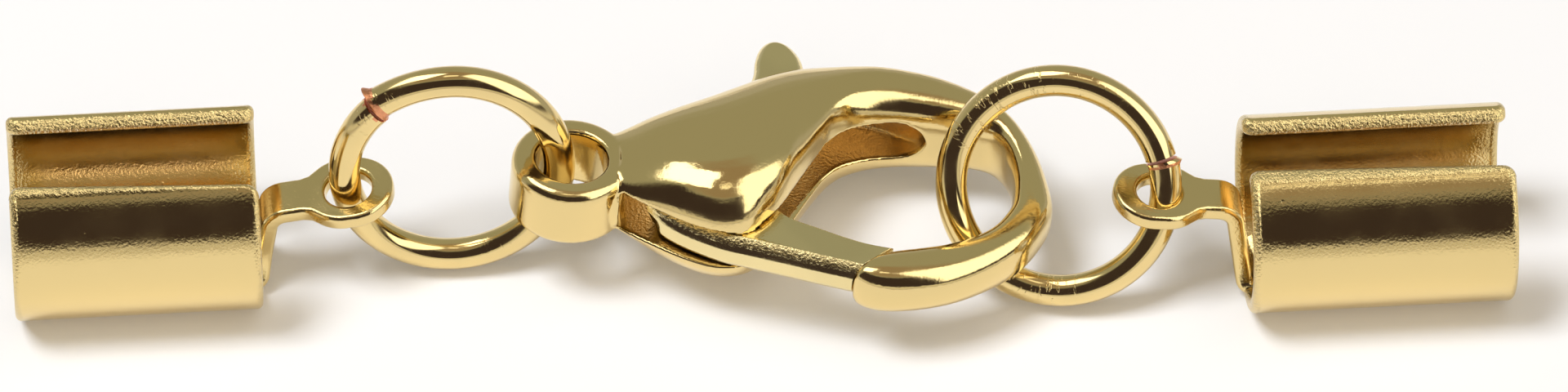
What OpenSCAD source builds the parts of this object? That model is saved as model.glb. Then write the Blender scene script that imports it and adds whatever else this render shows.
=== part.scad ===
// Lobster clasp joined by two jump rings to two open crimp cord ends, lying on a flat surface.
// Millimetres, +X from the loop end towards the hook end, +Z up, the surface is z = 0.

/* [Wire and sheet] */
// Diameter of the jump ring wire
wire_d = 0.74; // [0.5:0.02:1.2]
// Mean radius of a jump ring, at the middle of the wire
ring_r = 2.51; // [1.8:0.05:4]
// Width of the cut in a jump ring
ring_cut = 0.05; // [0.02:0.01:0.3]
// Thickness of the sheet that the cord ends are bent from
sheet_t = 0.40; // [0.2:0.05:0.8]

/* [Cord ends] */
// Outer radius of the round channel that grips the cord
channel_r = 2.38; // [1.5:0.02:4]
// Length of the left channel
left_len = 5.78; // [4:0.02:9]
// Length of the right channel
right_len = 6.18; // [4:0.02:9]
// Half angle of the opening along the top of the left channel
left_open = 30; // [15:1:60]
// Half angle of the opening along the top of the right channel
right_open = 22.5; // [15:0.5:60]
// Rounding of the channel wall corners
corner_r = 0.30; // [0.1:0.05:0.8]
// Width of the strip that joins the eye to the channel
strip_w = 1.05; // [0.7:0.05:2]
// Half of the width of the left eye
eye_r_left = 0.98; // [0.8:0.02:1.6]
// Half of the width of the right eye
eye_r_right = 0.94; // [0.8:0.02:1.6]
// Half of the length of both eyes
eye_half_len = 1.07; // [0.9:0.01:1.7]
// Radius of the hole in the eye
eye_hole_r = 0.61; // [0.45:0.01:1]
// Rise of the eye away from the channel, in degrees
eye_rise = 8; // [0:1:30]

/* [Clasp body] */
// Outer radius of the loop at the end of the body
loop_r = 1.40; // [1:0.02:2]
// Radius of the hole in the loop
loop_hole_r = 0.85; // [0.6:0.02:1.4]
// Half of the height of the loop
loop_half_h = 0.80; // [0.4:0.02:1]
// Rounding of the outer edges of the loop
loop_edge_r = 0.26; // [0.1:0.02:0.4]
// Rounding of the edges of the hole in the loop
loop_hole_edge_r = 0.08; // [0.02:0.02:0.3]
// Half of the height of the slot that holds the lever
slot_half_h = 0.56; // [0.4:0.01:0.8]
// Slope of the clasp from the loop down to the hook, in degrees
clasp_slope = 4.3; // [0:0.1:12]
// Squareness of the body's cross section, 2 is an ellipse
section_power = 2.5; // [2:0.1:4]

/* [Lever] */
// Half of the height of the lever
lever_half_h = 0.47; // [0.3:0.01:0.7]
// Gap between the end of the lever and the hook
tip_gap = 0.06; // [0.02:0.01:0.3]
// Radius of the pivot pin
pin_r = 0.34; // [0.2:0.01:0.6]
// Radial gap between the pivot pin and the lever
pin_gap = 0.03; // [0.01:0.01:0.1]
// Turn of the lever into the clasp, in degrees (0 is closed)
lever_turn = 0; // [0:1:28]

/* [Sub-part to show] */
// Which sub-part to draw

/* [Hidden] */
GOLD = [0.86, 0.72, 0.36];
PALE = [0.90, 0.78, 0.46];
eps = 0.01;

// Where each piece lies: the middle of the loop, the ends of the channels, the middles of the rings.
loop_at = [-4.48, 0.0075, 2.70];
left_end = [-11.65, -0.1125];
right_end = [11.25, -1.9275];
ring_left_at = [-7.11, 0.1475, 3.06];
ring_right_at = [6.954, -1.1905, 2.784];
loop_off = [0.10, -0.13, 0];
pivot_at = [2.60, -0.90];

// The body is a skin over cross sections. Each row: near edge x, near edge y, far edge x,
// far edge y, half thickness, squareness of the near side. The near side is the one that faces
// the lever and then the opening, seen from above in the clasp's own plane.
NEAR_X = 0;
NEAR_Y = 1;
FAR_X = 2;
FAR_Y = 3;
HALF_T = 4;
NEAR_P = 5;
BODY = [
  [0.95, -1.16, 0.95, 1.00, 0.79, 2.6],
  [1.24, -1.30, 1.35, 1.14, 0.92, 2.8],
  [1.92, -1.72, 2.04, 1.43, 1.25, 3.1],
  [2.65, -2.16, 2.74, 1.71, 1.49, 3.3],
  [3.40, -2.46, 3.55, 2.06, 1.62, 3.5],
  [4.10, -2.39, 4.36, 2.46, 1.67, 3.6],
  [4.62, -1.95, 5.01, 2.77, 1.65, 3.8],
  [4.97, -1.47, 5.61, 2.95, 1.59, 4.0],
  [5.29, -0.91, 6.06, 3.03, 1.50, 4.3],
  [5.60, -0.36, 6.50, 3.06, 1.43, 4.6],
  [5.88, 0.13, 6.88, 3.07, 1.38, 5.0],
  [6.18, 0.59, 7.22, 3.05, 1.34, 5.0],
  [6.59, 0.95, 7.55, 3.01, 1.31, 5.0],
  [7.17, 1.16, 7.90, 2.96, 1.26, 5.0],
  [7.80, 1.23, 8.31, 2.88, 1.20, 5.0],
  [8.41, 1.21, 8.82, 2.75, 1.14, 5.0],
  [9.01, 1.14, 9.37, 2.51, 1.07, 4.8],
  [9.56, 1.05, 9.94, 2.17, 0.98, 4.6],
  [10.04, 0.84, 10.45, 1.69, 0.90, 4.4],
  [10.33, 0.39, 10.81, 1.11, 0.83, 4.2],
  [10.43, -0.17, 11.10, 0.39, 0.76, 4.0],
  [10.42, -0.75, 11.28, -0.46, 0.72, 3.8],
  [10.32, -1.25, 11.33, -1.34, 0.68, 3.6],
  [10.10, -1.64, 11.00, -2.10, 0.65, 3.5],
  [9.78, -2.01, 10.47, -2.82, 0.63, 3.4],
  [9.29, -2.32, 9.75, -3.39, 0.62, 3.4],
  [8.71, -2.54, 8.93, -3.82, 0.63, 3.4],
  [8.10, -2.68, 8.15, -4.03, 0.65, 3.4],
  [7.50, -2.80, 7.40, -4.09, 0.66, 3.4],
  [7.05, -2.96, 6.88, -3.99, 0.64, 3.2],
  [6.72, -3.17, 6.55, -3.79, 0.54, 3.0],
  [6.56, -3.34, 6.42, -3.61, 0.27, 2.6]
];
SEC_N = 24;
SUB = 2;

// Outline of the lever seen from above: gate, thumb knob and the side that faces the loop.
LEVER = [
  [1.72, -1.32], [1.98, -1.59], [2.60, -2.11], [3.40, -2.56], [4.10, -2.80], [4.93, -3.07],
  [5.67, -3.32], [6.45, -3.57], [7.45, -2.78], [6.85, -2.62], [6.29, -2.38], [5.73, -2.09],
  [5.08, -1.74], [4.74, -1.28], [4.62, -0.66], [4.72, 0.34], [5.10, 1.52], [5.60, 2.61],
  [5.80, 3.20], [5.78, 3.65], [5.62, 4.02], [5.42, 4.23], [5.20, 4.30], [4.98, 4.23],
  [4.80, 3.99], [4.68, 3.59], [4.58, 3.04], [4.10, 1.96], [3.30, 0.99], [2.50, 0.11],
  [1.95, -0.62], [1.70, -1.06]
];

// Outline of the slot: it is open along the near side, and through the spine for the knob.
SLOT = [
  [1.18, -3.24], [1.18, -0.44], [1.36, 0.25], [1.74, 0.84], [2.12, 1.29], [2.12, 4.53],
  [5.96, 4.39], [5.96, 2.51], [6.80, 2.42], [7.60, 2.20], [8.20, 1.82], [8.58, 1.20],
  [8.40, 0.71], [6.60, 0.37], [5.20, -1.78], [4.60, -3.76]
];

// Smooth curve through the rows of a table, u runs from 0 to 1 between rows b and c.
function curve_at(a, b, c, d, u) =
  0.5 * (2 * b + (c - a) * u + (2 * a - 5 * b + 4 * c - d) * u * u
  + (3 * b - a - 3 * c + d) * u * u * u);
function row(t, i) = t[max(0, min(len(t) - 1, i))];
function smooth_rows(t, n) = concat(
  [for (i = [0 : len(t) - 2]) for (k = [0 : n - 1])
    curve_at(row(t, i - 1), row(t, i), row(t, i + 1), row(t, i + 2), k / n)],
  [t[len(t) - 1]]);

function power_of(v, p) = sign(v) * pow(abs(v), 2 / p);
function section(r) = [for (k = [0 : SEC_N - 1])
  let (a = 360 * k / SEC_N,
    p = cos(a) < 0 ? r[NEAR_P] : section_power,
    s = power_of(cos(a), p),
    z = power_of(sin(a), p),
    m = [r[NEAR_X] + r[FAR_X], r[NEAR_Y] + r[FAR_Y]] / 2,
    h = [r[FAR_X] - r[NEAR_X], r[FAR_Y] - r[NEAR_Y]] / 2)
  [m[0] + h[0] * s, m[1] + h[1] * s, r[HALF_T] * z]];

// Closed skin over rings of points that all have SEC_N points.
module skin(rings) {
  n = len(rings);
  points = [for (r = rings) for (p = r) p];
  sides = [for (i = [0 : n - 2]) for (k = [0 : SEC_N - 1])
    let (a = i * SEC_N + k, b = i * SEC_N + (k + 1) % SEC_N)
    each [[a, a + SEC_N, b], [b, a + SEC_N, b + SEC_N]]];
  first = [[for (k = [0 : SEC_N - 1]) k]];
  last = [[for (k = [0 : SEC_N - 1]) n * SEC_N - 1 - k]];
  polyhedron(points = points, faces = concat(sides, first, last), convexity = 12);
}

module body_skin() {
  skin([for (r = smooth_rows(BODY, SUB)) section(r)]);
}

// Cross section of the loop, a strip with round edges.
module loop_section() {
  w = loop_r - loop_hole_r;
  h = loop_half_h;
  ro = loop_edge_r;
  ri = loop_hole_edge_r;
  translate([loop_hole_r + ri, -h])
    square([w - ri - ro, 2 * h]);
  translate([loop_hole_r, ri - h])
    square([w / 2, 2 * (h - ri)]);
  translate([loop_hole_r + w / 2, ro - h])
    square([w / 2, 2 * (h - ro)]);
  for (z = [-1, 1]) {
    translate([loop_hole_r + ri, z * (h - ri)])
      circle(r = ri, $fn = 32);
    translate([loop_r - ro, z * (h - ro)])
      circle(r = ro, $fn = 32);
  }
}

module clasp_place() {
  translate(loop_at)
    rotate([0, clasp_slope, 0])
      children();
}

module clasp_body() {
  color(GOLD)
    clasp_place()
      difference() {
        union() {
          translate(loop_off)
            rotate_extrude($fn = 96)
              loop_section();
          difference() {
            body_skin();
            translate(loop_off)
              cylinder(r = loop_r - loop_edge_r, h = 4, center = true, $fn = 96);
          }
        }
        translate([0, 0, -slot_half_h])
          linear_extrude(2 * slot_half_h)
            polygon(SLOT);
        // the side of the hook's end that the lever closes against, tip_gap away from the lever
        translate([0.62 * tip_gap, -0.785 * tip_gap, -2])
          linear_extrude(4)
            polygon([
              [6.45, -3.57], [7.56, -2.69], [7.20, -1.80], [5.40, -2.00], [5.40, -4.20],
              [6.20, -4.20], [6.30, -3.70]
            ]);
        translate([pivot_at[0], pivot_at[1], 0])
          cylinder(r = pin_r + eps / 2, h = 6, center = true, $fn = 48);
      }
}

module trigger_lever() {
  color(PALE)
    clasp_place()
      translate([pivot_at[0], pivot_at[1], 0])
        rotate([0, 0, lever_turn])
          translate([-pivot_at[0], -pivot_at[1], -lever_half_h])
            difference() {
              linear_extrude(2 * lever_half_h)
                difference() {
                  polygon(LEVER);
                  translate(pivot_at)
                    circle(r = pin_r + pin_gap, $fn = 48);
                }
              // the end towards the loop leans away from it at the bottom
              translate([1.66, -2, 2 * lever_half_h])
                rotate([0, -20, 0])
                  translate([-2, 0, -3])
                    cube([2, 4, 6]);
            }
}

module pivot_pin() {
  color(GOLD)
    clasp_place()
      intersection() {
        translate([pivot_at[0], pivot_at[1], 0])
          cylinder(r = pin_r, h = 6, center = true, $fn = 48);
        body_skin();
      }
}

// Jump ring lying in its own plane, cut at cut_at degrees.
module jump_ring(cut_at) {
  difference() {
    rotate_extrude($fn = 96)
      translate([ring_r, 0])
        circle(d = wire_d, $fn = 32);
    rotate([0, 0, cut_at])
      translate([ring_r, 0, 0])
        cube([2 * wire_d, ring_cut, 2 * wire_d], center = true);
  }
}

module jump_ring_left() {
  color(PALE)
    translate(ring_left_at)
      rotate([83.3, 0, 0])
        jump_ring(131);
}

module jump_ring_right() {
  color(PALE)
    translate(ring_right_at)
      rotate([59.3, 0, -12.9])
        jump_ring(19);
}

// Strip and eye seen from the side: out of the channel's floor, up, over a round bend and outwards.
bend_r = 0.25;
foot_z = 0.12;
module strip_profile(bend_z, far) {
  t = sheet_t;
  translate([-0.30, foot_z])
    square([0.30, t - foot_z]);
  intersection() {
    translate([0, t + foot_z])
      circle(r = t, $fn = 48);
    square([t, t + foot_z]);
  }
  translate([0, t + foot_z])
    square([t, bend_z - t - foot_z]);
  translate([t + bend_r, bend_z]) {
    intersection() {
      difference() {
        circle(r = bend_r + t, $fn = 64);
        circle(r = bend_r, $fn = 64);
      }
      polygon([[0, 0], [-2, 0], [-2, 2], [-2 * tan(eye_rise), 2]]);
    }
    rotate(eye_rise)
      translate([0, bend_r])
        square([far, t]);
  }
}

// Outline of the eye and its strip seen from above.
module eye_plan(eye_x, eye_r) {
  half = strip_w / 2;
  eye_long = eye_half_len - eye_r;
  translate([-0.30, -half])
    square([eye_x - 0.40, strip_w]);
  polygon([
    [eye_x - 1.45, -half], [eye_x - 1.05, -half], [eye_x - 0.72, -0.70], [eye_x, -0.76],
    [eye_x, 0.76], [eye_x - 0.72, 0.70], [eye_x - 1.05, half], [eye_x - 1.45, half]
  ]);
  for (x = [-eye_long, eye_long])
    translate([eye_x + x, 0])
      circle(r = eye_r, $fn = 72);
  translate([eye_x - eye_long, -eye_r])
    square([2 * eye_long, 2 * eye_r]);
}

// Eye and strip, from the end of the channel at x = 0 outwards along +X, resting at z = 0.
// eye_z is the height of the middle of the sheet at the middle of the hole.
module eye_strip(eye_x, eye_z, eye_r) {
  bend_z = eye_z - (bend_r + sheet_t / 2) / cos(eye_rise)
    - (eye_x - sheet_t - bend_r) * tan(eye_rise);
  difference() {
    intersection() {
      rotate([90, 0, 0])
        translate([0, 0, -2])
          linear_extrude(4)
            strip_profile(bend_z, eye_x + 1);
      translate([0, 0, -1])
        linear_extrude(6)
          eye_plan(eye_x, eye_r);
    }
    translate([eye_x, 0, eye_z])
      rotate([0, -eye_rise, 0])
        cylinder(r = eye_hole_r, h = 2, center = true, $fn = 48);
  }
}

// Tool that rounds one corner of the channel's wall, the corner at the origin, the wall along -X and -Y.
// The round meets the wall's edges at a slight angle, so that no face only touches another.
module corner_tool() {
  c = 0.965 * corner_r;
  difference() {
    translate([-c, -c, -1])
      cube([c + 1, c + 1, 2]);
    translate([-c, -c, -2])
      cylinder(r = corner_r, h = 4, $fn = 32);
  }
}

// Open channel along +X from x = 0 to x = length, resting on z = 0.
module channel(length, open) {
  translate([0, 0, channel_r])
    difference() {
      rotate([0, 90, 0])
        cylinder(r = channel_r, h = length, $fn = 96);
      translate([-1, 0, 0])
        rotate([0, 90, 0])
          cylinder(r = channel_r - sheet_t, h = length + 2, $fn = 96);
      rotate([90, 0, 90])
        translate([0, 0, -1])
          linear_extrude(length + 2)
            polygon([[0, 0], [4 * sin(open), 4 * cos(open)], [-4 * sin(open), 4 * cos(open)]]);
      for (side = [-1, 1])
        for (e = [0, 1])
          rotate([-side * open, 0, 0])
            translate([e * length, 0, channel_r - sheet_t / 2])
              mirror([1 - e, 0, 0])
                mirror([0, side > 0 ? 1 : 0, 0])
                  corner_tool();
    }
}

// Cord end with its channel towards -X, roll tilts the strip and eye about the channel's axis.
module cord_end(length, open, eye_x, eye_z, eye_r, shift, roll) {
  translate([-length, 0, 0])
    channel(length, open);
  translate([0, shift, channel_r])
    rotate([roll, 0, 0])
      translate([0, 0, -channel_r])
        eye_strip(eye_x, eye_z, eye_r);
}

module cord_end_left() {
  color(GOLD)
    translate([left_end[0], left_end[1], 0])
      cord_end(left_len, left_open, 2.10, 2.52, eye_r_left, 0.17, 4);
}

module cord_end_right() {
  color(GOLD)
    translate([right_end[0], right_end[1], 0])
      mirror([1, 0, 0])
        cord_end(right_len, right_open, 2.00, 2.80, eye_r_right, 0.20, 2);
}

clasp_body();
trigger_lever();
pivot_pin();
jump_ring_left();
jump_ring_right();
cord_end_left();
cord_end_right();
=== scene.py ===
"""A lobster clasp between two jump rings and two crimp cord ends.

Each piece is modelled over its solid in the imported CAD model."""

from types import SimpleNamespace

import bmesh
import bpy
from bpy.props import FloatProperty, FloatVectorProperty, IntProperty, PointerProperty
from math import asin, atan2, cos, pi, radians, sin, tan
from mathutils import Matrix, Vector
from mathutils.bvhtree import BVHTree


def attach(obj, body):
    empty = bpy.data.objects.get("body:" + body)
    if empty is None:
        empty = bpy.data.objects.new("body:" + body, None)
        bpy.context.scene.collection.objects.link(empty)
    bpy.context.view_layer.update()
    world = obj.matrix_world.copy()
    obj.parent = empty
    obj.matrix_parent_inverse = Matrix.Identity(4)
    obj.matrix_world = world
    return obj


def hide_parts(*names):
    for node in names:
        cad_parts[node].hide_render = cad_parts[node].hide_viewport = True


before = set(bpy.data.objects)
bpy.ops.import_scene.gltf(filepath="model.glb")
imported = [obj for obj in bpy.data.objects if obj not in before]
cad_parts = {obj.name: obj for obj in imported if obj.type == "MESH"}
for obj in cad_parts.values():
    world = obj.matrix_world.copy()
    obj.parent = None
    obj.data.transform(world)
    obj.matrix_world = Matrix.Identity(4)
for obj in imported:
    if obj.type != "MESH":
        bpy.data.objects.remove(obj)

bl_info = {
    "name": "Lobster clasp finding",
    "version": (1, 0, 0),
    "blender": (4, 5, 0),
    "location": "View3D > Sidebar > Clasp",
    "description": "Builds a lobster clasp with its jump rings and crimp cord ends",
    "category": "Add Mesh",
}

# Pieces are made on the bench a thousand times life size, so that one unit is a millimetre,
# because tools such as Remesh stop at a tenth of a millimetre.
MM = 0.001
BODY, LEVER = "finding", "lever"
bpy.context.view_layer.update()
FULL_TURN = 2 * pi
ALONG, ACROSS = Vector((1, 0, 0)), Vector((0, 1, 0))

# Places on the row frame, in millimetres, as in the part's source.
LOOP_AT = Vector((-4.48, 0.0075, 2.70))
LOOP_OFF = Vector((0.10, -0.13, 0.0))
PIVOT_AT = Vector((2.60, -0.90, 0.0))

# The body's cross sections from the loop to the hook's end, in the clasp's own plane: the edge
# near the lever or the opening (x, y), the far edge (x, y), half of the thickness, and how square
# the near side is.
BODY_ROWS = (
    (0.95, -1.16, 0.95, 1.00, 0.79, 2.6),
    (1.24, -1.30, 1.35, 1.14, 0.92, 2.7),
    (1.92, -1.72, 2.04, 1.43, 1.25, 2.8),
    (2.65, -2.16, 2.74, 1.71, 1.49, 2.8),
    (3.40, -2.46, 3.55, 2.06, 1.62, 2.8),
    (4.10, -2.39, 4.36, 2.46, 1.67, 2.8),
    (4.62, -1.95, 5.01, 2.77, 1.65, 2.9),
    (4.97, -1.47, 5.61, 2.95, 1.59, 3.0),
    (5.29, -0.91, 6.06, 3.03, 1.50, 3.0),
    (5.60, -0.36, 6.50, 3.06, 1.43, 3.0),
    (5.88, 0.13, 6.88, 3.07, 1.38, 3.0),
    (6.18, 0.59, 7.22, 3.05, 1.34, 3.0),
    (6.59, 0.95, 7.55, 3.01, 1.31, 3.0),
    (7.17, 1.16, 7.90, 2.96, 1.26, 3.0),
    (7.80, 1.23, 8.31, 2.88, 1.20, 3.0),
    (8.41, 1.21, 8.82, 2.75, 1.14, 3.0),
    (9.01, 1.14, 9.37, 2.51, 1.07, 2.9),
    (9.56, 1.05, 9.94, 2.17, 0.98, 2.8),
    (10.04, 0.84, 10.45, 1.69, 0.90, 2.7),
    (10.33, 0.39, 10.81, 1.11, 0.83, 2.7),
    (10.43, -0.17, 11.10, 0.39, 0.76, 2.6),
    (10.42, -0.75, 11.28, -0.46, 0.72, 2.6),
    (10.32, -1.25, 11.33, -1.34, 0.68, 2.6),
    (10.10, -1.64, 11.00, -2.10, 0.65, 2.6),
    (9.78, -2.01, 10.47, -2.82, 0.63, 2.6),
    (9.29, -2.32, 9.75, -3.39, 0.62, 2.6),
    (8.71, -2.54, 8.93, -3.82, 0.63, 2.6),
    (8.10, -2.68, 8.15, -4.03, 0.65, 2.6),
    (7.50, -2.80, 7.40, -4.09, 0.66, 2.6),
    (7.05, -2.96, 6.88, -3.99, 0.64, 2.6),
    (6.72, -3.17, 6.55, -3.79, 0.54, 2.6),
    (6.56, -3.34, 6.42, -3.61, 0.27, 2.5),
)
FAR_SQUARENESS = 2.5

# The lever from above: its side along the body, then its gate end and back round the knob.
LEVER_FRONT = (
    (1.72, -1.32), (1.98, -1.59), (2.60, -2.11), (3.40, -2.56), (4.10, -2.80), (4.93, -3.07),
    (5.67, -3.32), (6.45, -3.57),
)
LEVER_BACK = (
    (7.45, -2.78), (6.85, -2.62), (6.29, -2.38), (5.73, -2.09), (5.08, -1.74), (4.74, -1.28),
    (4.62, -0.66), (4.72, 0.34), (5.10, 1.52), (5.60, 2.61), (5.80, 3.20), (5.78, 3.65),
    (5.62, 4.02), (5.42, 4.23), (5.20, 4.30), (4.98, 4.23), (4.80, 3.99), (4.68, 3.59),
    (4.58, 3.04), (4.10, 1.96), (3.30, 0.99), (2.50, 0.11), (1.95, -0.62), (1.70, -1.06),
)

# The slot in the body: straight runs near the loop, then the round end of the pocket in the arm.
SLOT_STRAIGHT = (
    (5.20, -1.78), (4.60, -3.76), (1.18, -3.24), (1.18, -0.44), (1.36, 0.25), (1.74, 0.84),
    (2.12, 1.29), (2.12, 4.53), (5.96, 4.39),
)
SLOT_ROUND = (
    (5.96, 2.51), (6.80, 2.42), (7.60, 2.20), (8.20, 1.82), (8.52, 1.38), (8.40, 0.71),
    (6.60, 0.37),
)
# What is cut off the hook's end, so that the lever's gate closes against it.
NOSE_CUT = (
    (6.487, -3.617), (7.597, -2.737), (7.237, -1.847), (5.437, -2.047), (5.437, -4.247),
    (6.237, -4.247), (6.337, -3.747),
)

# How each jump ring lies and was cut. Its turn about the upright, lean off the floor and cut are
# in degrees. One end stands out by step_out past the other and has a burr. Each stretch of
# pliers' dents has its middle and half width, in radians, and its share.
RINGS = (
    SimpleNamespace(
        name="left_ring", node="jump_ring_left", at=(-7.11, 0.1475, 3.06),
        turn=0.0, lean=83.3, cut=131, step_out=0.09, burr=0.13,
        dents=((2.3, 0.35, 0.5), (5.2, 0.3, 0.2)),
    ),
    SimpleNamespace(
        name="right_ring", node="jump_ring_right", at=(6.954, -1.1905, 2.784),
        turn=-12.9, lean=59.3, cut=19, step_out=0.03, burr=0.05,
        dents=((2.25, 0.6, 0.8), (4.6, 0.45, 1.0), (1.2, 0.4, 0.2)),
    ),
)

# The cord ends, the right one mirrored by its side. The near wall is lower by the first slant far
# from the eye, and by the second beside it. The channel is pressed to a share of its height. The
# eye has its middle (x, z), radius, shift to the back, roll in degrees, and share of a full hole.
CORD_ENDS = (
    SimpleNamespace(
        name="left_cord_end", node="cord_end_left", at=(-11.65, -0.1125, 0.0), side=1,
        length="left_length", opening="left_open", slants=(-0.14, 0.10), press=1.0,
        eye=SimpleNamespace(x=2.10, z=2.52, radius=0.98, shift=0.17, roll=4, hole=1.0),
    ),
    SimpleNamespace(
        name="right_cord_end", node="cord_end_right", at=(11.25, -1.9275, 0.0), side=-1,
        length="right_length", opening="right_open", slants=(-0.03, -0.28), press=0.95,
        eye=SimpleNamespace(x=2.00, z=2.80, radius=0.94, shift=0.20, roll=2, hole=0.92),
    ),
)


def length(name, description, millimetres):
    """A size that a user may change."""
    return FloatProperty(
        name=name, description=description, default=millimetres * MM, unit="LENGTH"
    )


def turn(name, description, degrees):
    """An angle that a user may change."""
    return FloatProperty(
        name=name, description=description, default=radians(degrees), unit="ROTATION"
    )


class WireSizes(bpy.types.PropertyGroup):
    """Sizes of the two jump rings."""

    wire: length("Wire", "Diameter of the wire", 0.74)
    radius: length("Radius", "From the ring's middle to the wire's", 2.51)
    cut: length("Cut", "Width of the cut", 0.08)


class SheetSizes(bpy.types.PropertyGroup):
    """Sizes of the two cord ends."""

    sheet: length("Sheet", "Thickness of the sheet", 0.40)
    channel: length("Channel", "Outer radius of the channel", 2.38)
    left_length: length("Left length", "Length of the left channel", 5.78)
    right_length: length("Right length", "Length of the right channel", 6.18)
    left_open: turn("Left opening", "Half angle of the left channel's opening", 30)
    right_open: turn("Right opening", "Half angle of the right channel's opening", 22.5)
    corner: length("Corner", "Rounding of the wall's corners", 0.30)
    edge: length("Edge", "Rounding along the sheet's edges", 0.15)
    strip: length("Strip", "Width of the strip under the eye", 1.05)
    eye_hole: length("Eye hole", "Radius of the hole in the eye", 0.55)
    eye_rise: turn("Eye rise", "Slope of the eye away from the channel", 8)


class ClaspSizes(bpy.types.PropertyGroup):
    """Sizes of the clasp, its lever and its pin."""

    slope: turn("Slope", "Slope from the loop down to the hook", 4.3)
    loop: length("Loop", "Outer radius of the loop", 1.40)
    loop_hole: length("Loop hole", "Radius of the hole in the loop", 0.85)
    loop_height: length("Loop height", "Height of the loop", 1.60)
    slot: length("Slot", "Height of the slot for the lever", 1.12)
    lever: length("Lever", "Height of the lever", 0.94)
    lever_front: length("Lever front", "Broad rounding along the lever's front", 0.34)
    lever_edge: length("Lever edge", "Rounding along the lever's other edges", 0.07)
    knob_edge: length("Knob edge", "Rounding round the thumb knob", 0.18)
    pin: length("Pin", "Radius of the pivot pin", 0.34)
    pin_reach: length("Pin reach", "Half of the pin's length", 1.0)
    grain: length("Casting detail", "Size of the faces of the cast body", 0.05)
    softening: IntProperty(
        name="Softening", description="Rounds of smoothing along the cast edges", default=2
    )


class FinishSettings(bpy.types.PropertyGroup):
    """Colour and polish of the gold tone."""

    gold: FloatVectorProperty(
        name="Gold", description="Colour of the plating", subtype="COLOR", size=3,
        default=(0.785, 0.61, 0.28),
    )
    copper: FloatVectorProperty(
        name="Copper", description="Colour of the bare metal at a cut", subtype="COLOR",
        size=3, default=(0.92, 0.40, 0.20),
    )
    polish: FloatProperty(
        name="Polish", description="Roughness of the polished faces", default=0.10
    )


class StageSettings(bpy.types.PropertyGroup):
    """Camera, floor and lights."""

    aim: FloatVectorProperty(
        name="Aim", description="Point that the camera looks at", subtype="TRANSLATION",
        size=3, default=(0.59 * MM, -0.6425 * MM, 2.37 * MM),
    )
    distance: length("Distance", "From the camera to its aim", 300)
    height_angle: turn("Height angle", "Angle of the camera above the floor", 44)
    side_angle: turn("Side angle", "Turn of the camera about the upright", -4.2)
    lens: FloatProperty(
        name="Lens", description="Focal length in millimetres", default=295.3
    )


# ---- numbers and points


def on_bench(group):
    """A property group's values, with its lengths a thousand times life size."""
    sizes = SimpleNamespace()
    for name, prop in group.bl_rna.properties.items():
        if name in group.__annotations__:
            scale = 1 / MM if prop.unit == "LENGTH" else 1
            setattr(sizes, name, getattr(group, name) * scale)
    return sizes


def held(value):
    """A value, but never below 0 or above 1."""
    return max(0.0, min(1.0, value))


def angles(start, span, steps):
    """Angles from start over a span in equal steps, with both ends."""
    return [start + span * k / steps for k in range(steps + 1)]


def arc(x, y, radius, start, span, steps):
    """Points of an arc about (x, y), with both ends."""
    return [(x + radius * cos(a), y + radius * sin(a)) for a in angles(start, span, steps)]


def circle(x, y, radius, sides):
    return arc(x, y, radius, 0.0, FULL_TURN, sides)[:-1]


def smooth_curve(points, steps):
    """Points along a smooth curve through the given ones, rows of any number of columns."""
    last = len(points) - 1
    out = []
    for i in range(last):
        a, b, c, d = (points[max(0, min(last, i + k))] for k in (-1, 0, 1, 2))
        for k in range(steps):
            u = k / steps
            out.append(tuple(
                0.5 * (2 * q + (r - p) * u + (2 * p - 5 * q + 4 * r - s) * u * u
                       + (3 * q - p - 3 * r + s) * u ** 3)
                for p, q, r, s in zip(a, b, c, d)
            ))
    out.append(tuple(points[-1]))
    return out


# ---- mesh helpers


def deselect():
    if bpy.context.mode != "OBJECT":
        bpy.ops.object.mode_set(mode="OBJECT")
    bpy.ops.object.select_all(action="DESELECT")


def only(obj):
    """Selects one object and makes it active."""
    deselect()
    obj.select_set(True)
    bpy.context.view_layer.objects.active = obj


def edit(obj):
    only(obj)
    bpy.ops.object.mode_set(mode="EDIT")


def done():
    bpy.ops.object.mode_set(mode="OBJECT")


def added(name):
    """The object that an add operator has just made, under its own name."""
    obj = bpy.context.object
    obj.name = obj.data.name = name
    return obj


def place_selected(obj, points):
    """In edit mode, puts the selected vertices, in their order, on the given points."""
    mesh = bmesh.from_edit_mesh(obj.data)
    chosen = [v for v in mesh.verts if v.select]
    if len(chosen) != len(points):
        raise RuntimeError(f"{obj.name}: {len(chosen)} vertices for {len(points)} points")
    for vertex, point in zip(chosen, points):
        vertex.co = point
    bmesh.update_edit_mesh(obj.data)


def first_ring(name, points, fill):
    """A new object in edit mode: one ring of points, all selected."""
    deselect()
    bpy.ops.mesh.primitive_circle_add(vertices=len(points), radius=1, fill_type=fill)
    obj = added(name)
    bpy.ops.object.mode_set(mode="EDIT")
    bpy.ops.mesh.select_mode(type="FACE")
    bpy.ops.mesh.select_all(action="SELECT")
    place_selected(obj, points)
    return obj


def outward(obj):
    """Makes all faces of a closed shell point outwards."""
    edit(obj)
    bpy.ops.mesh.select_all(action="SELECT")
    bpy.ops.mesh.remove_doubles(threshold=0.0005)
    bpy.ops.mesh.normals_make_consistent(inside=False)
    if bmesh.from_edit_mesh(obj.data).calc_volume(signed=True) < 0:
        bpy.ops.mesh.flip_normals()
    done()


def loft(name, rings):
    """A closed solid through rings of points, extruded from ring to ring from a filled circle."""
    obj = first_ring(name, rings[0], "NGON")
    for ring in rings[1:]:
        bpy.ops.mesh.extrude_region_move()
        place_selected(obj, ring)
    done()
    outward(obj)
    return obj


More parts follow.
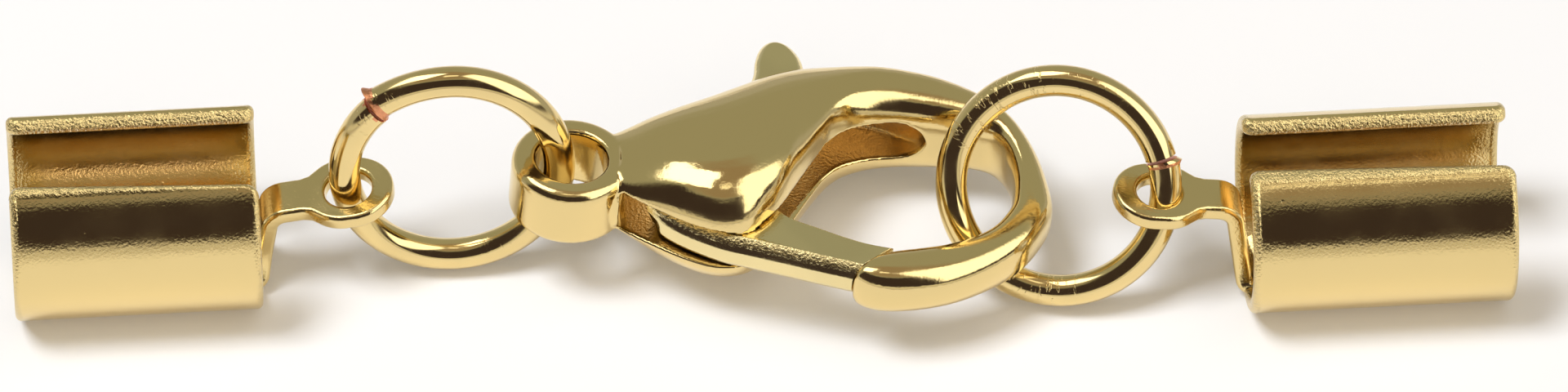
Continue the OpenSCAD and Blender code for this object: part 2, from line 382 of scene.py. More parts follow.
def spun(name, section, steps, angle=FULL_TURN):
    """A section (radius, height) spun about Z from the X axis, closed with faces at its ends."""
    fill = "NGON" if angle < FULL_TURN else "NOTHING"
    obj = first_ring(name, [Vector((r, 0, z)) for r, z in section], fill)
    bpy.ops.mesh.spin(steps=steps, angle=angle, center=(0, 0, 0), axis=(0, 0, 1))
    done()
    outward(obj)
    return obj


def plate(name, outline, low, high):
    """A flat plate of the outline (x, y), from height low to high."""
    return loft(name, [[Vector((x, y, z)) for x, y in outline] for z in (low, high)])


def cylinder(name, radius, half, at, sides=64):
    """An upright cylinder about a place, from -half to half."""
    return plate(name, circle(at.x, at.y, radius, sides), -half, half)


def corner_shift(first, second, first_by, second_by):
    """How a corner moves when its two sides move in by their own amounts."""
    cross = first.x * second.y - first.y * second.x
    nearly_straight = 0.25
    if abs(cross) < nearly_straight:
        return (first + second).normalized() * (first_by + second_by) / 2
    return Vector((first_by * second.y - second_by * first.y,
                   second_by * first.x - first_by * second.x)) / cross


def soft_plate(name, outline, edges, low, high, flatness=1.0):
    """A plate with rounded edges. Each side has its own rounding, flatter above flatness 1."""
    sides = []
    for k in range(len(outline)):
        (x, y), (next_x, next_y) = outline[k], outline[(k + 1) % len(outline)]
        sides.append(Vector((y - next_y, next_x - x)).normalized())
    turns = angles(0.0, pi / 2, 6)
    rings = []
    for face, into, way in ((low, 1, reversed(turns)), (high, -1, turns)):
        for a in way:
            inset, drop = 1 - cos(a) ** flatness, 1 - sin(a) ** flatness
            ring = []
            for k, (x, y) in enumerate(outline):
                before, after = edges[k - 1], edges[k]
                by = corner_shift(sides[k - 1], sides[k], before * inset, after * inset)
                ring.append(Vector((x + by.x, y + by.y, face + into * max(before, after) * drop)))
            rings.append(ring)
    return loft(name, rings)


def flared_bore(name, radius, half, edge, x):
    """What a bore at x with rounded edges takes away from a plate that is 2 * half thick."""
    levels = [(2 * half, radius + edge + half)]
    levels += arc(half - edge, radius + edge, edge, 0.0, -pi / 2, 6)
    levels += [(-z, r) for z, r in reversed(levels)]
    return loft(name, [[Vector((*p, z)) for p in circle(x, 0, r, 72)] for z, r in levels])


def apply_modifier(obj, kind, **settings):
    only(obj)
    modifier = obj.modifiers.new(kind.title(), kind)
    for name, value in settings.items():
        setattr(modifier, name, value)
    bpy.ops.object.modifier_apply(modifier=modifier.name)


def combine(obj, other, operation):
    """Cuts other out of obj, or joins it to obj. The other is used up."""
    apply_modifier(obj, "BOOLEAN", object=other, operation=operation, solver="MANIFOLD")
    bpy.data.meshes.remove(other.data)
    obj.data.materials.clear()


def bisected(obj, axis, places):
    """Adds lines across a plate, at the given places along an axis, so that it can bend there."""
    edit(obj)
    for place in places:
        bpy.ops.mesh.select_all(action="SELECT")
        bpy.ops.mesh.bisect(plane_co=axis * place, plane_no=axis)
    done()


def reshape(obj, move):
    """Moves each vertex of a plain shape to move(place)."""
    for vertex in obj.data.vertices:
        vertex.co = move(vertex.co)
    obj.data.update()


def shade(obj, angle):
    """Smooth shading that keeps the flat faces flat."""
    only(obj)
    bpy.ops.object.shade_smooth_by_angle(angle=radians(angle))
    apply_modifier(obj, "WEIGHTED_NORMAL", keep_sharp=True, weight=50)


def mark(obj, name, value_at):
    """Stores a value from 0 to 1 at each vertex, for a finish to read."""
    layer = obj.data.attributes.new(name, "FLOAT", "POINT")
    layer.data.foreach_set("value", [value_at(v.co) for v in obj.data.vertices])


def finish_piece(obj, materials, node, body=BODY):
    """Takes a piece off the bench at its real size, with its materials, body and CAD node."""
    obj.data.transform(Matrix.Scale(MM, 4))
    for material in materials:
        obj.data.materials.append(material)
    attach(obj, body)
    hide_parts(node)


# ---- finishes


class Nodes:
    """A node tree, with short calls for what the finishes, the floor and the studio share."""

    def __init__(self, tree):
        self.tree = tree

    def fill(self, node, inputs):
        """Links each input to an output, or sets it to a number, direction or colour."""
        for key, value in inputs.items():
            socket = node.inputs[key]
            if isinstance(value, bpy.types.NodeSocket):
                self.tree.links.new(value, socket)
            else:
                socket.default_value = (*value, 1) if socket.type == "RGBA" else value
        return node

    def node(self, kind, inputs=None, **settings):
        """Adds a node with its settings, and with inputs by their name or place."""
        node = self.tree.nodes.new("ShaderNode" + kind)
        for name, value in settings.items():
            setattr(node, name, value)
        return self.fill(node, inputs or {})

    def spread(self, value, low, high, to_low=0.0, to_high=1.0):
        """Maps low..high of a value to another range, and holds it there outside."""
        inputs = {"Value": value, "From Min": low, "From Max": high, "To Min": to_low,
                  "To Max": to_high}
        return self.node("MapRange", inputs, interpolation_type="SMOOTHSTEP").outputs["Result"]

    def mixed(self, factor, first, second):
        """A colour that goes from first to second where factor is 1."""
        inputs = {0: factor, 6: first, 7: second}
        return self.node("Mix", inputs, data_type="RGBA").outputs[2]

    def math(self, operation, first, second):
        return self.node("Math", {0: first, 1: second}, operation=operation).outputs[0]


class Finish(Nodes):
    """A material around one metal shader, with short calls to add what it shows."""

    def __init__(self, name, colour, roughness):
        self.material = bpy.data.materials.new(name)
        self.material.use_nodes = True
        super().__init__(self.material.node_tree)
        self.shader = self.tree.nodes["Principled BSDF"]
        self.colour = colour
        self.show({"Metallic": 1.0, "Base Color": colour, "Roughness": roughness})
        self.where = self.node("TexCoord").outputs["Object"]
        self.normal = None

    def show(self, inputs):
        self.fill(self.shader, inputs)

    def stored(self, name, output="Fac"):
        """What mark() or the wire's own coordinates hold at a place."""
        return self.node("Attribute", attribute_name=name).outputs[output]

    def noise(self, size, detail=2.0, where=None):
        """Soft noise whose lumps are about size across."""
        inputs = {"Scale": 1 / size, "Detail": detail, "Vector": where or self.where}
        return self.node("TexNoise", inputs).outputs["Fac"]

    def uneven_polish(self, size, low, high):
        """A roughness between low and high, in patches of about size."""
        return self.spread(self.noise(size, detail=3.0), 0.35, 0.7, low, high)

    def tint(self, factor, colour):
        """Goes from the metal's own colour to another where factor is 1."""
        self.show({"Base Color": self.mixed(factor, self.colour, colour)})

    def pale_patches(self, size, brightness):
        patches = self.spread(self.noise(size), 0.4, 0.65)
        self.tint(patches, [min(1.0, c * brightness) for c in self.colour])

    def bump(self, height, depth):
        """Adds relief of the given depth from a height of 0 to 1."""
        inputs = {"Strength": 1.0, "Distance": depth, "Height": height}
        if self.normal:
            inputs["Normal"] = self.normal
        self.normal = self.node("Bump", inputs).outputs["Normal"]
        self.show({"Normal": self.normal})


def gold(name, dullness, colour=None, waviness=0.004, pits=0.0, grain=0.0, raw=0.0, thin=None):
    """Gold plating: slightly uneven polish and colour, with pits and a fine grain.

    Where "rough" is stored, the metal is rougher by raw and its grain is at full depth.
    Where the second mark is stored and its colour given, the metal goes over to that paler,
    brighter colour: painted light inside a hollow."""
    settings = bpy.context.scene.finish_settings
    roughness = settings.polish * dullness
    finish = Finish(name, colour or settings.gold, roughness)
    rough = finish.stored("rough")
    polish = finish.uneven_polish(0.9 * MM, roughness * 0.75, roughness * 1.5)
    rougher = finish.math("MULTIPLY", rough, raw)
    finish.show({"Roughness": finish.math("ADD", polish, rougher)})
    # painted light: the stored mark brings in a paler, brighter colour inside a hollow
    if thin:
        finish.tint(finish.stored("thin"), thin)
    else:
        finish.pale_patches(1.7 * MM, 1.06)
    finish.bump(finish.noise(0.8 * MM, detail=1.0), waviness * MM)
    if pits:
        apart, inner, outer = 0.8 * MM, 0.02, 0.07
        dots = finish.node(
            "TexVoronoi", {"Scale": 1 / apart, "Randomness": 1.0, "Vector": finish.where},
            feature="F1",
        )
        finish.bump(finish.spread(dots.outputs["Distance"], inner, outer), pits * MM)
    if grain:
        size, on_polish = 0.065 * MM, 0.11
        share = finish.spread(rough, 0.0, 1.0, on_polish, 1.0)
        finish.bump(finish.math("MULTIPLY", finish.noise(size, detail=3.0), share), grain * MM)
    return finish.material


def wire_gold():
    """The rings' plating, with the short dents that pliers leave across the wire."""
    settings = bpy.context.scene.finish_settings
    polish = settings.polish
    finish = Finish("gold_wire", settings.gold, polish)
    finish.show({"Roughness": finish.uneven_polish(0.5 * MM, polish * 0.7, polish * 1.6)})
    finish.pale_patches(1.3 * MM, 1.05)
    finish.bump(finish.noise(0.6 * MM, detail=1.0), 0.003 * MM)
    # the wire's own coordinates are in millimetres, and a dent is short along the wire
    along = finish.node("Mapping", {"Scale": (6, 1.6, 1.6),
                                    "Vector": finish.stored("wire", "Vector")})
    noise = finish.noise(0.55, detail=3.0, where=along.outputs["Vector"])
    lines = finish.math("MULTIPLY", finish.spread(noise, 0.58, 0.66), finish.stored("dents"))
    finish.bump(lines, 0.007 * MM)
    return finish.material


def bare_copper():
    """The sheared end of the wire: coppery, dull and torn."""
    copper = bpy.context.scene.finish_settings.copper
    finish = Finish("copper_cut", copper, 0.30)
    finish.tint(finish.noise(0.12 * MM, detail=4.0), [c * 0.6 for c in copper])
    finish.bump(finish.noise(0.06 * MM, detail=4.0), 0.02 * MM)
    return finish.material


# ---- pieces


def clasp_place():
    """Where the clasp's own plane lies: its origin at the loop, sloping down to the hook."""
    tilt = bpy.context.scene.clasp_sizes.slope
    return Matrix.Translation(LOOP_AT) @ Matrix.Rotation(tilt, 4, "Y")


def power_of(value, power):
    return (1 if value >= 0 else -1) * abs(value) ** (2 / power)


def body_section(row, count):
    """One ring of points round the body: a rounded box that is squarer on its near side."""
    near_x, near_y, far_x, far_y, half, near_power = row
    middle = Vector(((near_x + far_x) / 2, (near_y + far_y) / 2))
    reach = Vector(((far_x - near_x) / 2, (far_y - near_y) / 2))
    ring = []
    for a in angles(0.0, FULL_TURN, count)[:-1]:
        power = near_power if cos(a) < 0 else FAR_SQUARENESS
        across, up = power_of(cos(a), power), power_of(sin(a), power)
        at = middle + reach * across
        ring.append(Vector((at.x, at.y, half * up)))
    return ring


class CLASP_OT_body(bpy.types.Operator):
    """Casts the clasp's body: loop, cheeks with the slot, and the hook"""

    bl_idname = "clasp.body"
    bl_label = "Clasp body"
    # points of each cross section, and sections from one row to the next
    points, steps = 48, 4
    # the loop's outer and inner edges
    soft, crisp = 0.26, 0.08
    # the end of the slot's pocket in the arm: its place along X, its length, and the least share
    # of its height, squared
    pocket_start, pocket_round, pocket_least = 7.75, 0.77, 0.02
    # this far inside the skin, in the slot, the metal stays rough as cast, and its colour is
    # paler and brighter: painted light in the slot
    cast_edge = 0.07
    thin = (0.97, 0.75, 0.42)
    # room round the pin, and half the height of what is cut right through
    pin_room, tall = 0.005, 4

    def execute(self, context):
        sizes = on_bench(context.scene.clasp_sizes)
        rows = smooth_curve(BODY_ROWS, self.steps)
        body = loft("clasp_casting", [body_section(row, self.points) for row in rows])
        skin = BVHTree.FromPolygons([v.co.copy() for v in body.data.vertices],
                                    [list(f.vertices) for f in body.data.polygons])
        space = cylinder("loop_space", sizes.loop - self.soft, self.tall, LOOP_OFF)
        combine(body, space, "DIFFERENCE")
        combine(body, self.loop(sizes), "UNION")
        combine(body, self.slot(sizes), "DIFFERENCE")
        combine(body, plate("nose_space", NOSE_CUT, -self.tall, self.tall), "DIFFERENCE")
        bore = cylinder("bore", sizes.pin + self.pin_room, sizes.pin_reach, PIVOT_AT)
        combine(body, bore, "DIFFERENCE")
        apply_modifier(body, "REMESH", mode="VOXEL", voxel_size=sizes.grain)
        apply_modifier(body, "SMOOTH", factor=0.5, iterations=sizes.softening)
        bpy.ops.object.shade_smooth()

        def inside_slot(place):
            if place.x < sizes.loop or abs(place.z) > sizes.slot / 2 + self.cast_edge:
                return 0.0
            return held(skin.find_nearest(place)[3] / self.cast_edge - 1.0)

        # the second mark paints light into the slot as a paler, brighter colour
        for name in ("rough", "thin"):
            mark(body, name, inside_slot)
        body.data.transform(clasp_place())
        metal = gold("gold_cast", 1.0, waviness=0.006, pits=0.003, grain=0.014, raw=0.10,
                     thin=self.thin)
        finish_piece(body, [metal], "clasp_body")
        return {"FINISHED"}

    def loop(self, sizes):
        """The loop: a strip with round edges, spun about its own hole."""
        half, soft, crisp = sizes.loop_height / 2, self.soft, self.crisp
        outer, inner = sizes.loop - soft, sizes.loop_hole + crisp
        section = []
        for r, z, radius, start in (
            (outer, half - soft, soft, 0.0), (inner, half - crisp, crisp, pi / 2),
            (inner, crisp - half, crisp, pi), (outer, soft - half, soft, 1.5 * pi),
        ):
            section += arc(r, z, radius, start, pi / 2, 6)
        ring = spun("loop_ring", section, 96)
        ring.data.transform(Matrix.Translation(LOOP_OFF))
        return ring

    def slot(self, sizes):
        """The space of the slot, whose top and bottom close in at the pocket's end."""
        outline = list(SLOT_STRAIGHT) + smooth_curve(SLOT_ROUND, 5)
        slot = plate("slot_space", outline, -sizes.slot / 2, sizes.slot / 2)
        turns = angles(0.0, pi / 2, 12)[:-1]
        bisected(slot, ALONG, [self.pocket_start + self.pocket_round * sin(a) for a in turns])

        def round_end(place):
            past = max(0.0, place.x - self.pocket_start) / self.pocket_round
            share = max(self.pocket_least, 1 - past ** 2) ** 0.5
            return Vector((place.x, place.y, place.z * share))

        reshape(slot, round_end)
        return slot


class CLASP_OT_lever(bpy.types.Operator):
    """Makes the sprung lever: its gate, its thumb knob and its hole for the pin"""

    bl_idname = "clasp.lever"
    bl_label = "Lever"
    # the gate's end is crisp, and the knob starts at this place along Y
    end_edge, knob_from = 0.02, 2.7
    # above 1, the rounding is flatter than a quarter circle
    flatness = 1.4
    # the end by the loop leans: from this place along X, fading in over this way, by this share
    lean_from, lean_over, lean = 2.15, 0.4, 0.42
    # the front edge shows grain up to this place along Y, in this band below the faces
    front_to, band = 0.2, (0.005, 0.195)
    pin_room = 0.03
    # stamped brass shows a little paler than the casting
    colour = (0.80, 0.665, 0.34)

    def execute(self, context):
        sizes = on_bench(context.scene.clasp_sizes)
        half = sizes.lever / 2
        front, back = smooth_curve(LEVER_FRONT, 4), smooth_curve(LEVER_BACK, 4)
        edges = [sizes.lever_front] * (len(front) - 1) + [self.end_edge]
        edges += [sizes.lever_edge if y < self.knob_from else sizes.knob_edge for x, y in back]
        lever = soft_plate("lever_blank", front + back, edges, -half, half, self.flatness)
        bore = cylinder("lever_bore", sizes.pin + self.pin_room, 2 * half, PIVOT_AT)
        combine(lever, bore, "DIFFERENCE")

        def in_front_edge(place):
            in_band = self.band[0] < half - abs(place.z) < self.band[1]
            return float(in_band and place.y < self.front_to)

        def leaning(place):
            by = (half - place.z) * self.lean * held((self.lean_from - place.x) / self.lean_over)
            return Vector((place.x + by, place.y, place.z))

        mark(lever, "rough", in_front_edge)
        reshape(lever, leaning)
        shade(lever, 32)
        lever.data.transform(clasp_place())
        metal = gold("gold_lever", 1.2, self.colour, pits=0.003, grain=0.026)
        finish_piece(lever, [metal], "trigger_lever", LEVER)
        return {"FINISHED"}


class CLASP_OT_pin(bpy.types.Operator):
    """Makes the pivot pin, which is pressed into the cheeks and plated over"""

    bl_idname = "clasp.pin"
    bl_label = "Pivot pin"

    def execute(self, context):
        sizes = on_bench(context.scene.clasp_sizes)
        pin = cylinder("pin_wire", sizes.pin, sizes.pin_reach, PIVOT_AT, 48)
        apply_modifier(pin, "BEVEL", width=0.04, segments=3, limit_method="ANGLE",
                       angle_limit=radians(50))
        shade(pin, 40)
        pin.data.transform(clasp_place())
        finish_piece(pin, [gold("gold_pin", 1.2)], "pivot_pin")
        return {"FINISHED"}


class CLASP_OT_rings(bpy.types.Operator):
    """Coils the two jump rings, with their sheared coppery ends"""

    bl_idname = "clasp.rings"
    bl_label = "Jump rings"
    # faces round and along the wire
    sides, steps = 32, 240
    # the dents fade in over this angle
    dents_fade = 0.15
    # the end that stands out starts to do so this far before the cut
    step_over = radians(40)
    # the burr is this long, and stands on the wire's outer side from this share of its radius
    burr_long, burr_from, burr_over = 0.07, 0.55, 0.45
    # the cut faces are dished by the shears
    dish_rim, dish_high = 0.03, 0.012
    # how much of the wire is bare beside its cut, for each millimetre of burr, and how uneven
    bare_end, ragged = 0.8, 0.35

    def execute(self, context):
        sizes = on_bench(context.scene.wire_sizes)
        metals = [wire_gold(), bare_copper()]
        for plan in RINGS:
            ring = self.ring(sizes, plan)
            ring.data.transform(Matrix.Translation(plan.at)
                                @ Matrix.Rotation(radians(plan.turn), 4, "Z")
                                @ Matrix.Rotation(radians(plan.lean), 4, "X"))
            finish_piece(ring, metals, plan.node)
        return {"FINISHED"}

    def ring(self, sizes, plan):
        """One ring in its own plane. Its last end stands out a little past its first."""
        wire, radius = sizes.wire / 2, sizes.radius
        gap = sizes.cut / radius
        end, cut = FULL_TURN - gap, radians(plan.cut)
        ring = spun(plan.name, circle(radius, 0.0, wire, self.sides), self.steps, end)

        def angle_at(place):
            return atan2(place.y, place.x) % FULL_TURN

        # along the wire, out from its middle and up: what the dents' pattern follows
        layer = ring.data.attributes.new("wire", "FLOAT_VECTOR", "POINT")
        for vertex, entry in zip(ring.data.vertices, layer.data):
            x, y, z = vertex.co
            entry.vector = (angle_at(vertex.co) * radius, (x * x + y * y) ** 0.5 - radius, z)

        def dents_at(place):
            turned = (angle_at(place) + cut + gap / 2) % FULL_TURN
            return max(
                held((width - abs((turned - middle + pi) % FULL_TURN - pi)) / self.dents_fade)
                * share for middle, width, share in plan.dents
            )

        def spiral(place):
            angle = angle_at(place)
            if angle > FULL_TURN - gap / 4:
                angle = 0.0
            left = (end - angle) * radius
            near_end = max(0.0, 1 - left / (self.step_over * radius))
            side = (place.xy.length - radius) / wire
            torn = (plan.burr * max(0.0, 1 - left / self.burr_long)
                    * max(0.0, side - self.burr_from) / self.burr_over)
            out = 1 + (plan.step_out * near_end ** 2 + torn) / radius
            return Vector((place.x * out, place.y * out, place.z))

        mark(ring, "dents", dents_at)
        reshape(ring, spiral)
        edit(ring)
        bpy.ops.mesh.select_all(action="DESELECT")
        mesh = bmesh.from_edit_mesh(ring.data)
        for face in mesh.faces:
            face.select_set(len(face.verts) > 4)
        bmesh.update_edit_mesh(ring.data)
        bpy.ops.mesh.inset(thickness=self.dish_rim, depth=self.dish_high)
        done()
        for face in ring.data.polygons:
            angle = angle_at(face.center)
            round_wire = atan2(face.center.z, face.center.xy.length - radius)
            uneven = 1 + self.ragged * sin(3 * round_wire) * sin(7 * round_wire)
            to_cut = min(angle, abs(end - angle)) * radius
            bare = to_cut < self.bare_end * plan.burr * uneven
            face.material_index = int(bare or len(face.vertices) > 4)
        ring.data.transform(Matrix.Rotation(cut + gap / 2, 4, "Z"))
        shade(ring, 40)
        return ring


class CLASP_OT_cord_ends(bpy.types.Operator):
    """Bends the two cord ends out of flat sheet: channel, strip and eye"""

    bl_idname = "clasp.cord_ends"
    bl_label = "Cord ends"
    # the far wall's sheared edge leans by this share of the sheet's thickness, over this width
    shear, shear_width = 0.40, 0.6
    # the near wall's top curls in by this much, over this width
    curl, curl_width = 0.06, 0.35
    # lines along which the sheet is rolled, and closer ones near the curl
    roll_lines, curl_lines, curl_step = 76, 9, 0.05
    # inside the channels the colour is paler and brighter, painted light in the channels; it
    # fades in away from their ends
    thin = (0.88, 0.70, 0.42)
    thin_from, thin_fade = 0.25, 0.8
    # the strip's foot: its length, height and half width, and how far up its flare reaches
    foot, foot_z, foot_half, flare_high = 0.22, 0.25, 0.95, 0.9
    # the foot stands this much nearer to the channel than the strip's top
    lean = 0.22
    # the strip's bend up, at its middle, and its bend over, at its inner side
    low_bend, high_bend = 0.22, 0.25
    # the shoulder's start and end before the eye's middle, the half widths of the shoulder and
    # the neck, and half of the eye's length
    shoulder_from, shoulder_to, shoulder, neck, eye_long = 1.12, 0.92, 0.58, 0.70, 1.07

    def execute(self, context):
        sizes = on_bench(context.scene.sheet_sizes)
        metal = gold("gold_sheet", 1.2, waviness=0.001, pits=0.004, grain=0.045, raw=0.03,
                     thin=self.thin)
        for plan in CORD_ENDS:
            piece = self.channel(sizes, plan)
            combine(piece, self.eye_strip(sizes, plan.eye), "UNION")
            piece.data.transform(Matrix.Translation(plan.at) @ Matrix.Scale(plan.side, 4, ALONG))
            outward(piece)
            shade(piece, 32)
            finish_piece(piece, [metal], plan.node)
        return {"FINISHED"}

    def channel(self, sizes, plan):
        """The channel, cut flat with round corners and rolled up, then pressed lower."""
        long, opening = getattr(sizes, plan.length), getattr(sizes, plan.opening)
        far_slant, eye_slant = plan.slants
        sheet, edge = sizes.sheet, sizes.edge
        middle = sizes.channel - sheet / 2
        width = 2 * (pi - opening) * middle
        low = -width / 2
        outline = []
        corners = [(-long, low), (0, low), (0, -low), (-long, -low)]
        for x, y in self.rounded(corners, sizes.corner):
            lower = eye_slant + (far_slant - eye_slant) * -x / long if y < 0 else 0.0
            outline.append((x, y + lower))
        blank = soft_plate(plan.name, outline, [edge] * len(outline), 0, sheet)

        def sheared(place):
            """The far wall's edge leans, so that it faces up once the sheet is rolled."""
            near_edge = max(0.0, (place.y + low + self.shear_width) / self.shear_width)
            return Vector((place.x, place.y - self.shear * place.z * near_edge, place.z))

        def rough_at(place):
            to_edge = min(-place.x, long + place.x, abs(low) - abs(place.y))
            return held(1.5 - to_edge / edge)

        # painted light: a paler, brighter colour on the inner side of the sheet, away from the
        # channel's ends
        def painted_light_at(place):
            to_end = min(-place.x, long + place.x) / self.thin_fade
            return held(to_end - self.thin_from) if place.z < sheet / 4 else 0.0

        def rolled(place):
            angle = place.y / middle
            to_edge = place.y - low - far_slant
            radius = middle - sheet / 2 + place.z
            radius -= self.curl * max(0.0, 1 - to_edge / self.curl_width) ** 2
            height = sizes.channel - radius * cos(angle)
            return Vector((place.x, radius * sin(angle), height * plan.press))

        reshape(blank, sheared)
        step = width / self.roll_lines
        across = [step * (k + 0.5) - width / 2 for k in range(1, self.roll_lines - 1)]
        across += [low + self.curl_step * k for k in range(1, self.curl_lines + 1)]
        bisected(blank, ACROSS, across)
        # lines beside the rounded ends keep the wall's shading flat up to them
        beside = 1.3 * edge
        bisected(blank, ALONG, [-x for x in angles(beside, long - 2 * beside, 8)])
        mark(blank, "rough", rough_at)
        mark(blank, "thin", painted_light_at)
        reshape(blank, rolled)
        return blank

    def rounded(self, corners, radius):
        """An outline with its right-angled corners rounded."""
        out = []
        for k, (x, y) in enumerate(corners):
            inward_x = radius if k in (0, 3) else -radius
            inward_y = radius if k in (0, 1) else -radius
            out += arc(x + inward_x, y + inward_y, radius, -pi + k * pi / 2, pi / 2, 8)
        return out

    def eye_outline(self, sizes, eye, to_eye, waist):
        """The flat strip with its flared foot and its long eye."""
        half, foot, steps = sizes.strip / 2, self.foot, 8
        side = [(0.0, -self.foot_half)]
        for k in range(steps + 1):
            flare = (self.foot_half - half) * (1 - k / steps) ** 2
            side.append((foot + (waist - foot) * k / steps, -half - flare))
        side += [(to_eye - self.shoulder_from, -half),
                 (to_eye - self.shoulder_to, -self.shoulder)]
        outline = list(side)
        longer = self.eye_long - eye.radius
        reach = pi - asin(self.neck / eye.radius)
        for a in angles(-reach, 2 * reach, 48):
            middle = to_eye + (longer if abs(a) < pi / 2 else -longer)
            outline.append((middle + eye.radius * cos(a), eye.radius * sin(a)))
        return outline + [(x, -y) for x, y in reversed(side)]

    def eye_strip(self, sizes, eye):
        """Strip and eye, cut flat, then bent up out of the channel's floor and over."""
        sheet, rise, edge = sizes.sheet, sizes.eye_rise, sizes.edge * 0.8
        foot, foot_z, low_bend = self.foot, self.foot_z, self.low_bend
        high_bend = self.high_bend + sheet / 2
        floor = sizes.channel - sheet / 2
        bend_x = sheet + self.high_bend
        bend_z = eye.z - high_bend / cos(rise) - (eye.x - bend_x) * tan(rise)
        straight = bend_z - foot_z - low_bend
        turn_low, turn_high = low_bend * pi / 2, high_bend * (pi / 2 - rise)
        start_x = bend_x - high_bend * sin(rise)
        # places along the flat strip: where it stands upright, turns over, and has its eye
        upright = foot + turn_low
        over = upright + straight
        to_eye = over + turn_high + (eye.x - start_x) / cos(rise)
        waist = upright + self.flare_high

        outline = self.eye_outline(sizes, eye, to_eye, waist)
        blank = soft_plate("eye_blank", outline, [edge] * len(outline), -sheet / 2, sheet / 2)
        hole = flared_bore("eye_hole", eye.hole * sizes.eye_hole, sheet / 2, edge, to_eye)
        combine(blank, hole, "DIFFERENCE")
        bisected(blank, ALONG, angles(foot, turn_low, 8) + angles(over, turn_high, 10))

        def bent(place):
            u = place.x
            if u < upright:
                way = max(0.0, u - foot) / low_bend
                x = min(0.0, u - foot) + low_bend * sin(way)
                z = foot_z + low_bend * (1 - cos(way))
            elif u < over:
                way = pi / 2
                x, z = low_bend, foot_z + low_bend + u - foot - turn_low
            else:
                way = max(rise, pi / 2 - (u - over) / high_bend)
                on = max(0.0, u - over - turn_high)
                x = low_bend + high_bend * (1 - sin(way)) + on * cos(rise)
                z = bend_z + high_bend * cos(way) + on * sin(rise)
            x, z = x - place.z * sin(way), z + place.z * cos(way)
            # the foot follows the channel's round floor, and the strip leans away from it
            hollow = floor - (floor ** 2 - place.y ** 2) ** 0.5
            x -= self.lean * held((over - u) / straight)
            return Vector((x, place.y, z + hollow * max(0.0, 1 - u / waist)))

        reshape(blank, bent)
        blank.data.transform(Matrix.Translation((0, eye.shift, sizes.channel))
                             @ Matrix.Rotation(radians(eye.roll), 4, "X")
                             @ Matrix.Translation((0, 0, -sizes.channel)))
        return blank


# ---- stage


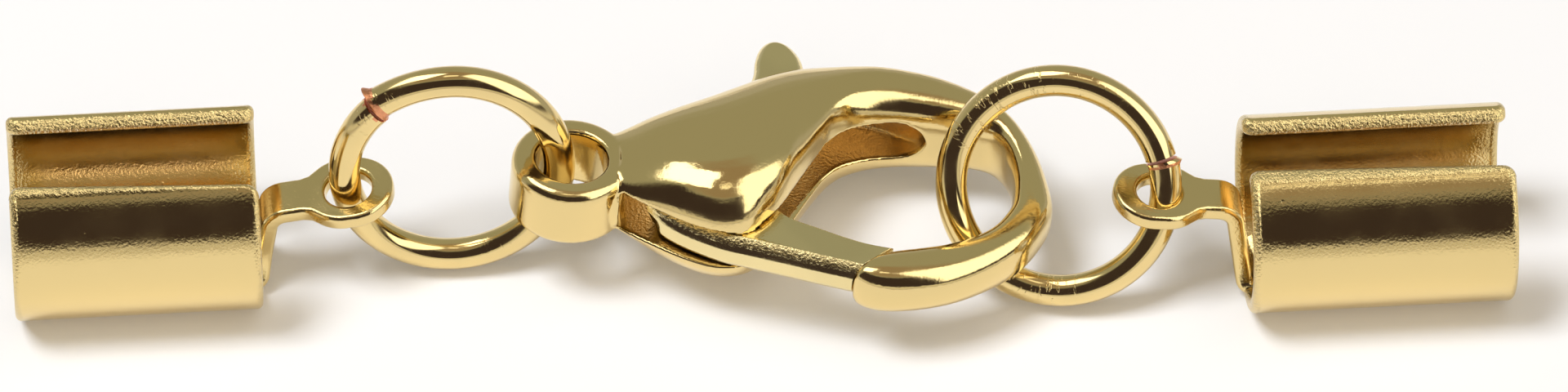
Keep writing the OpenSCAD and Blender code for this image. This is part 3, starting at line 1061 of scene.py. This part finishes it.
class CLASP_OT_stage(bpy.types.Operator):
    """Sets the white floor, the soft lights and the camera"""

    bl_idname = "clasp.stage"
    bl_label = "Stage"
    # the floor is white round the object and greyer where the light falls off, in metres
    floor_glow, floor_fade = 0.13, (0.02, 0.09)
    floor_white, floor_grey = (0.88, 0.88, 0.88), (0.50, 0.48, 0.45)
    # the studio that the metal mirrors: low down behind and in front, the walls, the ceiling,
    # and the dark room behind the camera
    low_behind, low_in_front = (0.48, 0.49, 0.48), (0.78, 0.76, 0.70)
    walls, ceiling, dark = (0.385, 0.395, 0.33), (0.36, 0.29, 0.21), (0.050, 0.037, 0.037)
    # where each of them fades in, as the sine of the angle to the front or up
    front_fade, walls_fade, ceiling_fade = (0.02, -0.16), (0.12, 0.42), (0.82, 0.93)
    dark_fades = ((0.10, 0.16), (0.87, 0.80))
    # colour and brightness, softness of the edges, corners as azimuth and height angle
    softboxes = (
        ((2.02, 2.0, 1.88), 0.05, ((146, 15), (84, 15), (56, 66), (122, 77))),
        ((3.0, 3.0, 2.94), 0.03, ((-82, 51), (-34, 51), (0, 75), (-116, 75))),
        ((1.4, 1.32, 1.12), 0.01, ((135, 79), (192, 79), (270, 88), (90, 82))),
    )
    # name, azimuth, height angle and the angle that it spans, in degrees, brightness, colour
    lamps = (
        ("key", -112, 66, 20, 15.9, (0.98, 1.03, 1.12)),
        ("fill", 170, 66, 76, 1.18, (1.0, 0.88, 0.72)),
    )
    lamps_away = 0.7

    def execute(self, context):
        self.floor()
        self.world(context)
        self.lights(context)
        self.camera(context)
        context.scene.view_settings.view_transform = "Standard"
        return {"FINISHED"}

    def floor(self):
        deselect()
        bpy.ops.mesh.primitive_plane_add(size=6.0, location=(0, 0, -0.005 * MM))
        floor = added("floor")
        paper = bpy.data.materials.new("white_paper")
        paper.use_nodes = True
        nodes = Nodes(paper.node_tree)
        where = nodes.node("TexCoord").outputs["Object"]
        away = nodes.node("VectorMath", {0: where}, operation="LENGTH").outputs["Value"]
        fade = nodes.spread(away, *self.floor_fade)
        white = nodes.mixed(fade, self.floor_white, self.floor_grey)
        shader = paper.node_tree.nodes["Principled BSDF"]
        nodes.fill(shader, {
            "Roughness": 0.9, "Specular IOR Level": 0.1, "Base Color": white,
            "Emission Color": white, "Emission Strength": self.floor_glow,
        })
        floor.data.materials.append(paper)

    def world(self, context):
        """A grey studio: paler low down and overhead, dark behind the camera."""
        world = bpy.data.worlds.new("studio")
        context.scene.world = world
        world.use_nodes = True
        sky = Nodes(world.node_tree)
        direction = sky.node("TexCoord").outputs["Generated"]
        axes = sky.node("SeparateXYZ", {"Vector": direction}).outputs
        forward, up = axes["Y"], axes["Z"]
        in_front = sky.spread(forward, *self.front_fade)
        low = sky.mixed(in_front, self.low_behind, self.low_in_front)
        grey = sky.mixed(sky.spread(up, *self.walls_fade), low, self.walls)
        grey = sky.mixed(sky.spread(up, *self.ceiling_fade), grey, self.ceiling)
        band = sky.math("MULTIPLY", *(sky.spread(up, *fade) for fade in self.dark_fades))
        shown = sky.mixed(sky.math("MULTIPLY", in_front, band), grey, self.dark)
        for colour, soft, corners in self.softboxes:
            window = self.window(sky, direction, soft, [self.way(*at) for at in corners])
            shown = sky.mixed(window, shown, colour)
        sky.fill(sky.tree.nodes["Background"], {"Color": shown})
        world.cycles_visibility.diffuse = False

    def window(self, sky, direction, soft, ways):
        """The share of a softbox in each direction: 1 inside the planes through its sides."""
        middle = sum(ways, Vector())
        window = None
        for first, second in zip(ways, ways[1:] + ways[:1]):
            across = first.cross(second).normalized()
            across *= 1 if across.dot(middle) > 0 else -1
            dot = sky.node("VectorMath", {0: direction, 1: across}, operation="DOT_PRODUCT")
            inside = sky.spread(dot.outputs["Value"], -soft, soft)
            window = sky.math("MULTIPLY", window, inside) if window else inside
        return window

    def way(self, side, rise):
        """A direction from its azimuth, from the back towards +X, and its height angle."""
        side, rise = radians(side), radians(rise)
        return Vector((sin(side) * cos(rise), cos(side) * cos(rise), sin(rise)))

    def lights(self, context):
        """The key and the fill, which light the floor and make the soft shadows."""
        for name, side, rise, span, bright, colour in self.lamps:
            at = self.way(side, rise) * self.lamps_away
            data = bpy.data.lights.new(name, "AREA")
            data.size = 2 * self.lamps_away * tan(radians(span) / 2)
            data.color = colour
            data.energy = bright * pi * data.size ** 2
            lamp = bpy.data.objects.new(name, data)
            lamp.location = at
            lamp.rotation_euler = (-at).to_track_quat("-Z", "Y").to_euler()
            lamp.visible_glossy = False
            context.scene.collection.objects.link(lamp)

    def camera(self, context):
        settings = context.scene.stage_settings
        up, side = settings.height_angle, settings.side_angle
        away = Vector((sin(side) * cos(up), -cos(side) * cos(up), sin(up)))
        data = bpy.data.cameras.new("camera")
        data.lens, data.sensor_width = settings.lens, 36.0
        data.clip_start, data.clip_end = 0.01, 20.0
        camera = bpy.data.objects.new("camera", data)
        camera.location = Vector(settings.aim) + away * settings.distance
        camera.rotation_euler = away.to_track_quat("Z", "Y").to_euler()
        context.scene.collection.objects.link(camera)
        context.scene.camera = camera


class CLASP_PT_panel(bpy.types.Panel):
    """Lists the clasp's pieces and their sizes"""

    bl_idname = "CLASP_PT_panel"
    bl_label = "Lobster clasp"
    bl_space_type = "VIEW_3D"
    bl_region_type = "UI"
    bl_category = "Clasp"

    def draw(self, context):
        for name, (title, group) in GROUPS.items():
            box = self.layout.box()
            box.label(text=title)
            for size in group.__annotations__:
                box.prop(getattr(context.scene, name), size)
        for operator in OPERATORS:
            self.layout.operator(operator.bl_idname)


GROUPS = {
    "wire_sizes": ("Rings", WireSizes),
    "sheet_sizes": ("Cord ends", SheetSizes),
    "clasp_sizes": ("Clasp", ClaspSizes),
    "finish_settings": ("Finish", FinishSettings),
    "stage_settings": ("Stage", StageSettings),
}
OPERATORS = (
    CLASP_OT_body, CLASP_OT_lever, CLASP_OT_pin, CLASP_OT_rings, CLASP_OT_cord_ends,
    CLASP_OT_stage,
)
CLASSES = (*(group for title, group in GROUPS.values()), *OPERATORS, CLASP_PT_panel)


def register():
    for cls in CLASSES:
        bpy.utils.register_class(cls)
    for name, (title, group) in GROUPS.items():
        setattr(bpy.types.Scene, name, PointerProperty(type=group))


def unregister():
    for name in GROUPS:
        delattr(bpy.types.Scene, name)
    for cls in reversed(CLASSES):
        bpy.utils.unregister_class(cls)


def main():
    register()
    bpy.ops.clasp.body()
    bpy.ops.clasp.lever()
    bpy.ops.clasp.pin()
    bpy.ops.clasp.rings()
    bpy.ops.clasp.cord_ends()
    bpy.ops.clasp.stage()


if __name__ == "__main__":
    main()
